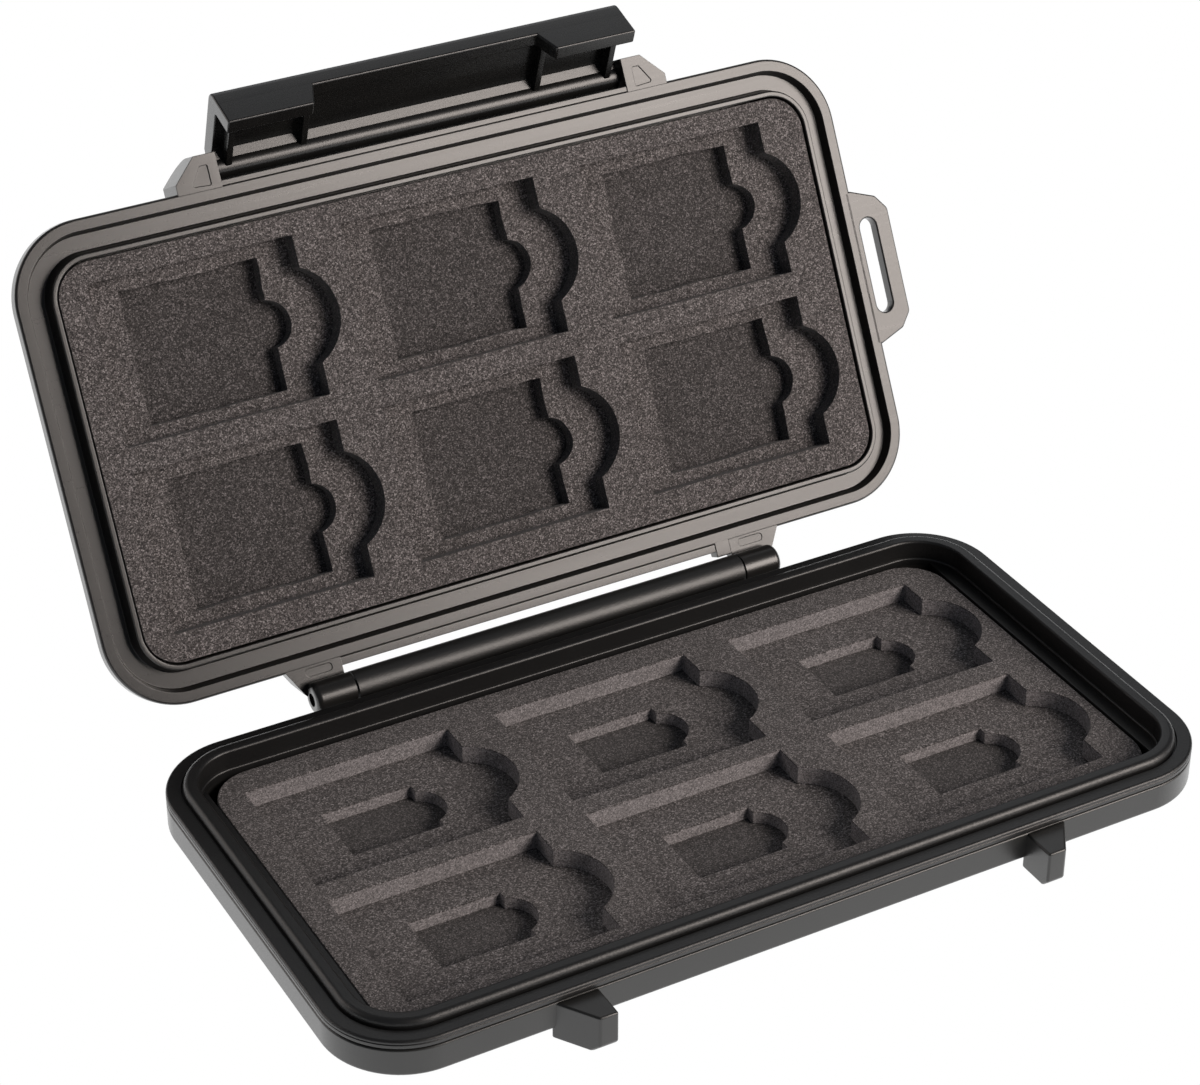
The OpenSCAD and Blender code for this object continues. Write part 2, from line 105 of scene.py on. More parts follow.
# Heights and insets of the base
BEAD_H = 1.2
BEAD_OUT = 2.5
BEAD_IN = 4.7
STEP_W = 2.2
CAVITY_IN = 5.0
LINING_OUT = 3.9
PART_Z = rubber_high.z - BEAD_H
BAND_H = 1.5
SHELL_TOP = PART_Z - BAND_H
FLANGE_H = 4.4
FLANGE_LOW = SHELL_TOP - FLANGE_H
SKIRT_W = 1.6
SKIRT_DROP = 1
FLANGE_UNDER = FLANGE_LOW + SKIRT_DROP
FOOT_IN = 7.8
LINING_Z = rubber_low.z
LEDGE_Z = LINING_Z + 1.2
SHELF_Z = LINING_Z + 0.6
BASE_FLOOR = base_back_low.z
# The cavity's wall leans in by this much from one foam sheet to the next
WALL_LEAN = 0.7
FOAM_GAP = 0.3

# Heights and insets of the lid, shut
RIM_GAP = 0.3
RIM_Z = PART_Z + RIM_GAP
RIM_W = 1.85
RIM_T = 2.2
CHANNEL_D = 1.6
CHANNEL_W = 2.4
CHANNEL_DRAFT = 0.45
CHANNEL_Z = RIM_Z + CHANNEL_D
CHANNEL_IN = RIM_W + CHANNEL_DRAFT
RIB_W = 1.2
RIB_H = 1
RIB_OUT = CHANNEL_IN + CHANNEL_W
RIB_IN = RIB_OUT + RIB_W
RIB_Z = RIM_Z - RIB_H
LID_WALL_T = 1.5
LID_BACK_T = 1.4
LID_WALL_OUT = RIB_IN - LID_WALL_T
CEILING_Z = lid_back_high.z
LID_TOP = CEILING_Z + LID_BACK_T
SHOULDER_T = 1.2
SHOULDER_Z = CHANNEL_Z + SHOULDER_T

# Hinge
BARREL_R = 2.5
BARREL_HALF = 33.1
BARREL_GAP = 1.5
PIN_R = 1.0
PIN_FIT = 0.05
END_GAP = 0.3
KNUCKLE_L = 6.4
KNUCKLE_IN = BARREL_HALF + END_GAP
KNUCKLE_OUT = KNUCKLE_IN + KNUCKLE_L
HINGE_LIP_W = 1.1

# Latch, its ears and its guards
LATCH_HALF = latch_high.x
LATCH_GAP = 2
LATCH_LIP_W = 0.65
EAR_TIP_L = 3.4
EAR_IN = LATCH_HALF + END_GAP
EAR_OUT = EAR_IN + EAR_TIP_L
EAR_T = 6
EAR_ROUND = 2.4
GUARD_L = 2.8
GUARD_D = 5.4
GUARD_Z = 3.3
GUARD_IN = LATCH_HALF + 0.6
GUARD_OUT = GUARD_IN + GUARD_L

# Strap loop
LOOP_D = 6.2
LOOP_T = 2
SLOT_L = 15.3
SLOT_W = 3

# Card pockets: length, width, notch depth, notch width
LARGE_CARD = (32, 24, 4.6, 14.3)
MICRO_CARD = (14.1, 10.6, 2.7, 7.8)
MINI_CARD = (21.7, 19.8, 3, 7.3)
COLUMN_PITCH = 39.9
ROW_PITCH = 27.8
COLUMNS = 3
ROWS = 2
BASE_FIRST = Vector((-56.8, 26.2, 0))
LID_FIRST = Vector((-57.4, -26.4, 0))
MICRO_AT = Vector((8.9, -6.1, 0))
MINI_AT = Vector((5.3, 2.2, 0))

# Two points nearer than this are one, in millimetres
SAME = 0.001
# Faces that meet at a smaller angle than this are shaded as one
CREASE = math.radians(32)
# Seed of the knife's waver, so that every run cuts the foam alike
KNIFE_SEED = 5


def linear(code):
    """A colour written as sRGB hex, in the linear values that a shader takes."""
    channels = [int(code[place:place + 2], 16) / 255 for place in (1, 3, 5)]
    return [c / 12.92 if c <= 0.04045 else ((c + 0.055) / 1.055) ** 2.4 for c in channels] + [1]


def add(tree, kind, settings=None, links=None):
    """Adds a shader node with its settings, and links its inputs to other nodes' outputs."""
    made = tree.nodes.new(kind)
    for name, value in (settings or {}).items():
        if name in made.inputs:
            made.inputs[name].default_value = value
        else:
            setattr(made, name, value)
    for name, source in (links or {}).items():
        tree.links.new(source, made.inputs[name])
    return made


def new_material(name):
    """An empty material, with its node tree, its output and its object coordinates."""
    material = bpy.data.materials.new(name)
    material.use_nodes = True
    tree = material.node_tree
    tree.nodes.clear()
    output = add(tree, "ShaderNodeOutputMaterial")
    place = add(tree, "ShaderNodeTexCoord").outputs["Object"]
    return material, tree, output, place


def ramp(tree, source, stops):
    """Colours by value: each stop is a place from 0 to 1 and an sRGB colour."""
    made = add(tree, "ShaderNodeValToRGB", links={"Fac": source})
    while len(made.color_ramp.elements) < len(stops):
        made.color_ramp.elements.new(0.5)
    for element, (at, code) in zip(made.color_ramp.elements, stops):
        element.position = at
        element.color = linear(code)
    return made.outputs["Color"]


def spread(tree, source, low, high):
    """A value from 0 to 1, mapped to a range."""
    made = add(tree, "ShaderNodeMapRange", {"To Min": low, "To Max": high}, {"Value": source})
    return made.outputs["Result"]


def moulded(name, dark, light, rough, grain, depth, ior=1.46, streaks=0.0):
    """A moulded surface: two close shades, a texture of the grain's size and its relief in mm.
    Streaks, from 0 to 1, is how far long fine lines take the grain's place in the gloss."""
    material, tree, output, place = new_material(name)
    cloud = 9 * MM
    streak_l = 25 * MM
    streak_w = 0.5 * MM
    varies = 0.06
    fine = add(tree, "ShaderNodeTexNoise", {"Scale": 1 / (grain * MM), "Detail": 3.0,
                                            "Roughness": 0.6}, {"Vector": place})
    cloudy = add(tree, "ShaderNodeTexNoise", {"Scale": 1 / cloud, "Detail": 2.0},
                 {"Vector": place})
    colour = ramp(tree, cloudy.outputs["Fac"], [(0.3, dark), (0.7, light)])
    flow = add(tree, "ShaderNodeMapping", {"Scale": (1 / streak_l, 1 / streak_w, 1 / streak_w)},
               {"Vector": place})
    drawn = add(tree, "ShaderNodeTexNoise", {"Scale": 1.0, "Detail": 3.0},
                {"Vector": flow.outputs["Vector"]})
    gloss = add(tree, "ShaderNodeMix", {"data_type": "FLOAT", "Factor": streaks})
    tree.links.new(fine.outputs["Fac"], gloss.inputs["A"])
    tree.links.new(drawn.outputs["Fac"], gloss.inputs["B"])
    relief = add(tree, "ShaderNodeBump", {"Strength": 1.0, "Distance": depth * MM},
                 {"Height": fine.outputs["Fac"]})
    surface = add(tree, "ShaderNodeBsdfPrincipled", {"IOR": ior, "Metallic": 0.0}, {
        "Base Color": colour, "Normal": relief.outputs["Normal"],
        "Roughness": spread(tree, gloss.outputs["Result"], rough - varies, rough + varies)})
    tree.links.new(surface.outputs["BSDF"], output.inputs["Surface"])
    return material


def closed_cell_foam(name, shades, relief_depth):
    """Cross-linked polyethylene foam: cut cells of a fifth of a millimetre, each its own shade."""
    material, tree, output, place = new_material(name)
    cell = 0.2 * MM
    patch = 14 * MM
    cell_share = 0.42
    cells = add(tree, "ShaderNodeTexVoronoi", {"Scale": 1 / cell, "Randomness": 1.0},
                {"Vector": place})
    grit = add(tree, "ShaderNodeTexNoise", {"Scale": 1 / cell, "Detail": 2.0,
                                            "Roughness": 0.7}, {"Vector": place})
    patches = add(tree, "ShaderNodeTexNoise", {"Scale": 1 / patch, "Detail": 2.0},
                  {"Vector": place})
    each = add(tree, "ShaderNodeSeparateColor", links={"Color": cells.outputs["Color"]})
    mixed = add(tree, "ShaderNodeMath", {"operation": "MULTIPLY_ADD"})
    tree.links.new(each.outputs["Red"], mixed.inputs[0])
    mixed.inputs[1].default_value = cell_share
    tree.links.new(spread(tree, grit.outputs["Fac"], -0.2, 0.75), mixed.inputs[2])
    colour = ramp(tree, mixed.outputs["Value"], shades)
    faded = add(tree, "ShaderNodeMix", {"data_type": "RGBA", "blend_type": "MULTIPLY"},
                {"Factor": spread(tree, patches.outputs["Fac"], 0.0, 0.35)})
    # A mix of colours has them at sockets 6 and 7, and its result at output 2
    tree.links.new(colour, faded.inputs[6])
    faded.inputs[7].default_value = linear("#c9c4c0")
    relief = add(tree, "ShaderNodeBump", {"Strength": 1.0, "Distance": relief_depth * MM},
                 {"Height": mixed.outputs["Value"]})
    surface = add(tree, "ShaderNodeBsdfPrincipled", {
        "IOR": 1.3, "Roughness": 0.92, "Sheen Weight": 0.12, "Sheen Roughness": 0.6}, {
        "Base Color": faded.outputs[2], "Normal": relief.outputs["Normal"]})
    tree.links.new(surface.outputs["BSDF"], output.inputs["Surface"])
    return material


# Base: ABS from a spark-eroded mould, a soft sheen on near black
base_abs = moulded("base_abs", "#191918", "#1e1e1d", 0.36, 0.22, 0.008, ior=1.5)
# Hinge barrel: the same ABS from a coarser part of the mould, so its highlight is broad and grainy
barrel_abs = moulded("barrel_abs", "#151515", "#1a1a19", 0.44, 0.30, 0.026, ior=1.6)
# Lid: ABS with a smoother, slightly drawn surface, which turns grey where it faces the light
lid_abs = moulded("lid_abs", "#1b1a19", "#201f1e", 0.29, 0.20, 0.005, ior=1.5, streaks=0.5)
# Latch: the blackest and smoothest of the three
latch_abs = moulded("latch_abs", "#0f0f0f", "#141413", 0.28, 0.25, 0.006)
# Rim: moulded TPE rubber, deep black, its soft highlight broken up by a fine bloom
rim_rubber = moulded("rim_rubber", "#0c0c0c", "#111111", 0.42, 0.26, 0.03, ior=1.5)
# Faces of the foam sheets, where the knife opened the cells: charcoal with light specks
FOAM_FACE_SHADES = [(0.16, "#1b1a1a"), (0.38, "#3e3b3b"), (0.60, "#605c5c"), (0.85, "#a9a4a5")]
# Walls of the base's pockets: the die leaves them smooth, and they are the same foam painted lighter
# than the faces, as painted light for how they shine in the lamp
FOAM_WALL_PAINTED_LIGHT_SHADES = [(0.16, "#454344"), (0.40, "#6e6b6c"), (0.62, "#898587"), (0.90, "#b6b2b4")]
# Back sheets and the walls in the lid: the same foam painted darker, as painted shade at the bottom
# of the pockets and on the lid's pocket walls
FOAM_PAINTED_SHADE_SHADES = [(0.16, "#151414"), (0.38, "#312f2f"), (0.60, "#4b4848"), (0.85, "#8a8587")]
foam_face = closed_cell_foam("foam_face", FOAM_FACE_SHADES, 0.05)
foam_wall_painted_light = closed_cell_foam("foam_wall_painted_light", FOAM_WALL_PAINTED_LIGHT_SHADES, 0.03)
foam_painted_shade = closed_cell_foam("foam_painted_shade", FOAM_PAINTED_SHADE_SHADES, 0.05)


def drawn_steel():
    """Drawn steel wire: bright, with fine lines along its length."""
    material, tree, output, place = new_material("drawn_steel")
    line_l = 8 * MM
    line_w = 0.08 * MM
    along = add(tree, "ShaderNodeMapping", {"Scale": (1 / line_l, 1 / line_w, 1 / line_w)},
                {"Vector": place})
    lines = add(tree, "ShaderNodeTexNoise", {"Scale": 1.0, "Detail": 2.0},
                {"Vector": along.outputs["Vector"]})
    relief = add(tree, "ShaderNodeBump", {"Strength": 0.6, "Distance": 0.004 * MM},
                 {"Height": lines.outputs["Fac"]})
    surface = add(tree, "ShaderNodeBsdfPrincipled", {"Metallic": 1.0}, {
        "Base Color": ramp(tree, lines.outputs["Fac"], [(0.3, "#8f8f90"), (0.7, "#b4b4b5")]),
        "Normal": relief.outputs["Normal"],
        "Roughness": spread(tree, lines.outputs["Fac"], 0.28, 0.4)})
    tree.links.new(surface.outputs["BSDF"], output.inputs["Surface"])
    return material


pin_steel = drawn_steel()


def rounded(corners, steps=5):
    """Points of an outline. A corner is two numbers, or three where the third is its radius."""
    points = []
    for number, corner in enumerate(corners):
        here = Vector(corner[:2])
        if len(corner) == 2:
            points.append(here)
            continue
        back = (Vector(corners[number - 1][:2]) - here).normalized()
        ahead = (Vector(corners[(number + 1) % len(corners)][:2]) - here).normalized()
        half = back.angle(ahead) / 2
        centre = here + (back + ahead).normalized() * corner[2] / math.sin(half)
        first = here + back * corner[2] / math.tan(half) - centre
        last = here + ahead * corner[2] / math.tan(half) - centre
        turn = first.angle_signed(last)
        for step in range(steps + 1):
            angle = math.atan2(first.y, first.x) - turn * step / steps
            points.append(centre + corner[2] * Vector((math.cos(angle), math.sin(angle))))
    return points


def rectangle(half_x, half_y, radius=None):
    """Corners of a rectangle about the origin, for rounded()."""
    corners = [(half_x, -half_y), (half_x, half_y), (-half_x, half_y), (-half_x, -half_y)]
    return corners if radius is None else [corner + (radius,) for corner in corners]


def draw(points, closed=True):
    """Draws a line through points in edit mode, by extruding one point from each to the next."""
    bpy.ops.object.select_all(action="DESELECT")
    bpy.ops.mesh.primitive_plane_add(size=1)
    bpy.ops.object.mode_set(mode="EDIT")
    bpy.ops.mesh.select_all(action="SELECT")
    bpy.ops.mesh.merge(type="CENTER")
    pen = Vector(points[0])
    bpy.ops.transform.translate(value=pen)
    ends = list(points[1:]) + ([points[0]] if closed else [])
    for end in ends:
        bpy.ops.mesh.extrude_vertices_move(TRANSFORM_OT_translate={"value": Vector(end) - pen})
        pen = Vector(end)
    bpy.ops.mesh.select_all(action="SELECT")
    if closed:
        bpy.ops.mesh.remove_doubles(threshold=SAME)


def leave_edit():
    """Merges doubles, turns all faces outwards and returns the finished mesh's object."""
    bpy.ops.mesh.select_all(action="SELECT")
    bpy.ops.mesh.remove_doubles(threshold=SAME)
    bpy.ops.mesh.normals_make_consistent(inside=False)
    bpy.ops.object.mode_set(mode="OBJECT")
    return bpy.context.active_object


def carry_round(section, half_x, half_y, radius, closed=True):
    """Carries a section round a rounded rectangle. Its points are inset and height.
    An open section's two ends are filled, as a tray's floor and underside."""
    reach_x = half_x - radius
    reach_y = half_y - radius
    draw([(half_x - inset, -reach_y, height) for inset, height in section], closed)
    corners = [(reach_x, reach_y), (-reach_x, reach_y), (-reach_x, -reach_y), (reach_x, -reach_y)]
    for side, corner in enumerate(corners):
        heading = math.pi / 2 * (side + 1)
        run = 2 * (reach_y if side % 2 == 0 else reach_x)
        step = (run * math.cos(heading), run * math.sin(heading), 0)
        bpy.ops.mesh.extrude_edges_move(TRANSFORM_OT_translate={"value": step})
        bpy.ops.mesh.spin(steps=CORNER_STEPS, angle=math.pi / 2, center=corner + (0,),
                          axis=(0, 0, -1))
    bpy.ops.mesh.select_all(action="SELECT")
    bpy.ops.mesh.remove_doubles(threshold=SAME)
    if not closed:
        bpy.ops.mesh.fill_holes(sides=0)
    return leave_edit()


def prism(outline, low, high):
    """A plan outline raised between two heights."""
    draw([(point[0], point[1], low) for point in outline])
    bpy.ops.mesh.edge_face_add()
    bpy.ops.mesh.extrude_region_move(TRANSFORM_OT_translate={"value": (0, 0, high - low)})
    return leave_edit()


def bar(outline, left, right):
    """A side outline, in Y and Z, carried along X."""
    draw([(left, point[0], point[1]) for point in outline])
    bpy.ops.mesh.edge_face_add()
    bpy.ops.mesh.extrude_region_move(TRANSFORM_OT_translate={"value": (right - left, 0, 0)})
    return leave_edit()


def rod(radius, left, right, y, z, sides=64):
    """A round bar along X."""
    bpy.ops.object.select_all(action="DESELECT")
    bpy.ops.mesh.primitive_cylinder_add(vertices=sides, radius=radius, depth=right - left,
                                        location=((left + right) / 2, y, z),
                                        rotation=(0, math.pi / 2, 0))
    bpy.ops.object.transform_apply()
    return bpy.context.active_object


def activate(piece):
    """Makes a piece the only selected one."""
    bpy.ops.object.select_all(action="DESELECT")
    piece.select_set(True)
    bpy.context.view_layer.objects.active = piece


def slice_off(piece, point, outwards):
    """Cuts away what lies beyond a plane, and closes the cut."""
    activate(piece)
    bpy.ops.object.mode_set(mode="EDIT")
    bpy.ops.mesh.select_all(action="SELECT")
    bpy.ops.mesh.bisect(plane_co=point, plane_no=outwards, use_fill=True, clear_outer=True)
    return leave_edit()


def apply(piece, kind, **settings):
    """Adds a modifier with its settings and applies it."""
    modifier = piece.modifiers.new(kind.lower(), kind)
    for name, value in settings.items():
        setattr(modifier, name, value)
    activate(piece)
    bpy.ops.object.modifier_apply(modifier=modifier.name)
    return piece


def cut(piece, *cutters):
    """Takes the cutters' shapes out of a piece."""
    for cutter in cutters:
        apply(piece, "BOOLEAN", operation="DIFFERENCE", solver="EXACT", object=cutter)
        bpy.data.objects.remove(cutter)
    return piece


def soften(piece, width, steps=2, angle=35):
    """Rounds every edge that is sharper than the angle."""
    return apply(piece, "BEVEL", width=width, segments=steps, limit_method="ANGLE",
                 angle_limit=math.radians(angle), miter_outer="MITER_ARC")


def join(*parts):
    """Joins pieces of one moulding into one mesh."""
    activate(parts[0])
    for part in parts[1:]:
        part.select_set(True)
    bpy.ops.object.join()
    return bpy.context.active_object


def mirrored(piece):
    """A copy of a piece on the other end of the case, with its own mesh."""
    twin = piece.copy()
    twin.data = piece.data.copy()
    bpy.context.collection.objects.link(twin)
    twin.data.transform(Matrix.Scale(-1, 4, (1, 0, 0)))
    activate(twin)
    bpy.ops.object.mode_set(mode="EDIT")
    bpy.ops.mesh.select_all(action="SELECT")
    bpy.ops.mesh.flip_normals()
    bpy.ops.object.mode_set(mode="OBJECT")
    return twin


def settle(piece, name, body, node, finish, swing=IN_PLACE):
    """Puts a finished piece in its place in metres, and says what it stands for."""
    piece.name = name
    piece.data.name = name
    piece.data.transform(Matrix.Scale(MM, 4) @ swing)
    piece.data.materials.clear()
    piece.data.materials.append(finish)
    activate(piece)
    bpy.ops.object.shade_smooth_by_angle(angle=CREASE)
    apply(piece, "WEIGHTED_NORMAL", weight=50, keep_sharp=True)
    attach(piece, body)
    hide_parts(node)
    return piece


def base_shell():
    """Hard tray of the base: skirted flange, leaning wall and foot, with the two latch guards."""
    section = rounded([
        (CAVITY_IN + 2 * WALL_LEAN, BASE_FLOOR), (CAVITY_IN + WALL_LEAN, base_middle_low.z),
        (CAVITY_IN, base_face_low.z), (CAVITY_IN, LINING_Z), (LINING_OUT, LINING_Z),
        (LINING_OUT, SHELL_TOP), (0, SHELL_TOP, 0.3), (0, FLANGE_LOW, 0.6),
        (SKIRT_W, FLANGE_LOW, 0.2), (SKIRT_W, FLANGE_UNDER), (3.8, FLANGE_UNDER, 0.3),
        (4.0, base_face_low.z), (4.9, 2.4, 1.2), (7.2, 0.4, 0.5), (FOOT_IN, 0), (9.3, 0)])
    tray = carry_round(section, CASE_X, CASE_Y, CORNER_R, closed=False)
    # The web carries the barrel, and like the guards it starts a little inside the flange
    sunk = 0.6
    web_d = 4.8
    web = prism(rectangle(BARREL_HALF, web_d / 2), FLANGE_UNDER, SHELL_TOP - 0.3)
    web.data.transform(Matrix.Translation((0, CASE_Y - sunk + web_d / 2, 0)))
    root = sunk - CASE_Y
    front = -CASE_Y - GUARD_D
    flare = 4
    slant = 1.2
    guard = prism([(GUARD_IN, root), (GUARD_IN, front), (GUARD_OUT, front),
                   (GUARD_OUT + flare, root)], GUARD_Z, SHELL_TOP - 0.1)
    guard = slice_off(guard, (0, front + slant, GUARD_Z), (0, -1, -1))
    guard = soften(guard, 0.35, steps=4)
    shell = join(tray, soften(web, 0.2), guard, mirrored(guard))
    return settle(shell, "base_shell_moulding", "base", "base_shell", base_abs)


def hinge_barrel():
    """Barrel between the lid's knuckles, moulded with the base, its ends open round the pin."""
    barrel = rod(BARREL_R, -BARREL_HALF, BARREL_HALF, HINGE.y, HINGE.z, sides=96)
    bore = rod(PIN_R + PIN_FIT, -BARREL_HALF - 1, BARREL_HALF + 1, HINGE.y, HINGE.z)
    barrel = soften(cut(barrel, bore), 0.35, steps=4)
    return settle(barrel, "hinge_barrel", "base", "base_shell", barrel_abs)


def rubber_rim():
    """Rubber round the base: grooved band, flat step, sealing bead and lining of the cavity."""
    groove_z = PART_Z - 0.6
    groove_half = 0.12
    step_foot = PART_Z - 0.35
    section = rounded([
        (LINING_OUT, SHELL_TOP), (0.3, SHELL_TOP), (0.25, SHELL_TOP + 0.2), (0, SHELL_TOP + 0.3, 0.1),
        (0, groove_z - groove_half), (0.14, groove_z), (0, groove_z + groove_half),
        (0, PART_Z, 0.42), (STEP_W, PART_Z, 0.08), (STEP_W + 0.1, step_foot), (BEAD_OUT, step_foot),
        (BEAD_OUT, PART_Z + BEAD_H, 0.95), (BEAD_IN, PART_Z + BEAD_H, 0.42),
        (BEAD_IN, LEDGE_Z + 0.05), (CAVITY_IN, LEDGE_Z, 0.28),
        (CAVITY_IN, LINING_Z), (LINING_OUT, LINING_Z)], steps=8)
    rim = carry_round(section, CASE_X, CASE_Y, CORNER_R)
    # The shelf at each end runs a little into the lining
    edge = CAVITY_IN - 0.2
    shelf = prism(rounded(rectangle(CASE_X - edge, CASE_Y - edge, CORNER_R - edge), steps=16),
                  LINING_Z, SHELF_Z)
    inner = base_face_high.x + FOAM_GAP
    opening = prism(rectangle(inner, CASE_Y), LINING_Z - 1, SHELF_Z + 1)
    shelf = soften(cut(shelf, opening), 0.15)
    return settle(join(rim, shelf), "rubber_rim_moulding", "base", "rubber_rim",
                  rim_rubber)


def pocket(card, at, low, high, way, waver):
    """Solid to cut a card pocket with: a rectangle with a round finger notch on its right.
    Way is 1 where the pocket runs towards the hinge from its first corner, and -1 where it runs
    away from it. The knife wavers by that much in the soft foam."""
    wave_l = 5
    wave_step = 1.6
    length, width, notch_d, notch_w = card
    radius = (notch_w ** 2 / 4 + notch_d ** 2) / (2 * notch_d)
    middle = Vector((length + notch_d - radius, width / 2))
    half_turn = math.asin(notch_w / 2 / radius)
    bends = 14
    notch = [middle + radius * Vector((math.cos(a), math.sin(a))) for a in
             [half_turn * (2 * bend / bends - 1) for bend in range(bends + 1)]]
    corners = [Vector((0, 0)), Vector((length, 0))] + notch + [Vector((length, width)),
                                                             Vector((0, width))]
    outline = []
    for here, ahead in zip(corners, corners[1:] + corners[:1]):
        pieces = max(1, round((ahead - here).length / wave_step))
        outline += [here.lerp(ahead, piece / pieces) for piece in range(pieces)]
    cut_line = []
    for point in outline:
        placed = Vector((at.x + point.x, at.y + way * point.y, 0))
        drift = noise.noise_vector(placed / wave_l + Vector((0, 0, high)))
        cut_line.append(placed + waver * Vector((drift.x, drift.y, 0)))
    return prism(cut_line, low, high)


def grid(first, way):
    """First corners of the pockets in one half of the case."""
    return [first + Vector((column * COLUMN_PITCH, way * row * ROW_PITCH, 0))
            for row in range(ROWS) for column in range(COLUMNS)]


def pockets(card, corners, low, high, way, waver=0.06):
    """Solids that cut all pockets of one sheet, right through it."""
    return [pocket(card, corner, low.z - 1, high.z + 1, way, waver) for corner in corners]


def foam_sheet(name, node, low, high, radius, cutters, finish, swing=IN_PLACE):
    """One sheet of a foam insert, with its pockets cut through and its cut edges a little round."""
    sheet = prism(rounded(rectangle(high.x, high.y, radius), steps=12), low.z, high.z)
    if cutters:
        cut(sheet, join(*cutters))
    soften(sheet, 0.16, steps=2, angle=50)
    settle(sheet, name, "lid" if swing is LID_SWING else "base", node, finish, swing)
    # Walls get a copy of the foam painted lighter in the base, as painted light, and painted darker
    # in the lid, as painted shade
    sheet.data.materials.append(foam_painted_shade if swing is LID_SWING else foam_wall_painted_light)
    upright = swing.to_3x3() @ Vector((0, 0, 1))
    for face in sheet.data.polygons:
        if abs(face.normal.dot(upright)) < 0.3:
            face.material_index = 1
    return sheet


def base_foam():
    """Foam in the base: pockets for large cards over pockets for the smallest ones."""
    radius = CORNER_R - CAVITY_IN - FOAM_GAP
    away = -1
    large = pockets(LARGE_CARD, grid(BASE_FIRST, away), base_face_low, base_face_high, away)
    foam_sheet("base_foam_face_sheet", "base_foam_face", base_face_low, base_face_high, radius,
               large, foam_face)
    micro = pockets(MICRO_CARD, grid(BASE_FIRST + MICRO_AT, away), base_middle_low,
                    base_middle_high, away)
    foam_sheet("base_foam_middle_sheet", "base_foam_middle", base_middle_low, base_middle_high,
               radius - WALL_LEAN, micro, foam_face)
    # The back sheet is painted darker, as painted shade on the pockets' floors
    foam_sheet("base_foam_back_sheet", "base_foam_back", base_back_low, base_back_high,
               radius - 2 * WALL_LEAN, [], foam_painted_shade)


def lid_foam():
    """Foam in the lid: pockets for large cards over pockets for middle-sized ones."""
    radius = LID_R - RIB_IN - FOAM_GAP
    towards = 1
    large = pockets(LARGE_CARD, grid(LID_FIRST, towards), lid_face_low, lid_face_high, towards)
    foam_sheet("lid_foam_face_sheet", "lid_foam_face", lid_face_low, lid_face_high, radius,
               large, foam_face, LID_SWING)
    mini = pockets(MINI_CARD, grid(LID_FIRST + MINI_AT, towards), lid_middle_low,
                   lid_middle_high, towards, waver=0.3)
    foam_sheet("lid_foam_middle_sheet", "lid_foam_middle", lid_middle_low, lid_middle_high, radius,
               mini, foam_face, LID_SWING)
    # The back sheet is painted darker, as painted shade on the pockets' floors
    foam_sheet("lid_foam_back_sheet", "lid_foam_back", lid_back_low, lid_back_high, radius, [],
               foam_painted_shade, LID_SWING)


def lid_tray():
    """Hard tray of the lid: flat rim, channel for the bead, rib, wall and back."""
    # The section ends this far inside, where the fills of the lid's back begin
    end_in = RIB_IN + 3
    section = rounded([
        (end_in, CEILING_Z), (RIB_IN, CEILING_Z), (RIB_IN, RIB_Z, 0.18),
        (RIB_OUT + 0.5, RIB_Z, 0.18), (RIB_OUT + 0.32, RIB_Z + 0.3), (RIB_OUT, CHANNEL_Z, 0.12),
        (CHANNEL_IN, CHANNEL_Z, 0.12), (RIM_W, RIM_Z, 0.12), (0, RIM_Z, 0.4),
        (0, RIM_Z + RIM_T, 0.4), (RIM_W, SHOULDER_Z, 0.3), (LID_WALL_OUT, SHOULDER_Z, 0.4),
        (LID_WALL_OUT + 0.3, LID_TOP, 3), (end_in, LID_TOP)], steps=8)
    return carry_round(section, LID_X, LID_Y, LID_R, closed=False)


def latch_ear():
    """Ear for the latch pin, on the right, with the shallow three-sided recess in its face."""
    root = 0.3 - LID_Y
    tip = LATCH_PIN.y - EAR_ROUND
    top = RIM_Z + EAR_T
    flare = 3.6
    ear = bar(rounded([(root, RIM_Z), (tip, RIM_Z), (tip, top, EAR_ROUND), (root, top)], steps=8),
              EAR_IN, EAR_OUT + flare)
    ear = slice_off(ear, (EAR_OUT, tip, RIM_Z), (root - tip, -flare, 0))
    recess = prism(rounded([(1.6, -0.3, 0.2), (1.6, -3.3, 0.2), (2.8, -3.3, 0.3), (4.6, -0.5, 0.3)],
                           steps=4), RIM_Z - 1, RIM_Z + 0.16)
    recess.data.transform(Matrix.Translation((EAR_IN, -LID_Y, 0)))
    return soften(cut(ear, recess), 0.14)


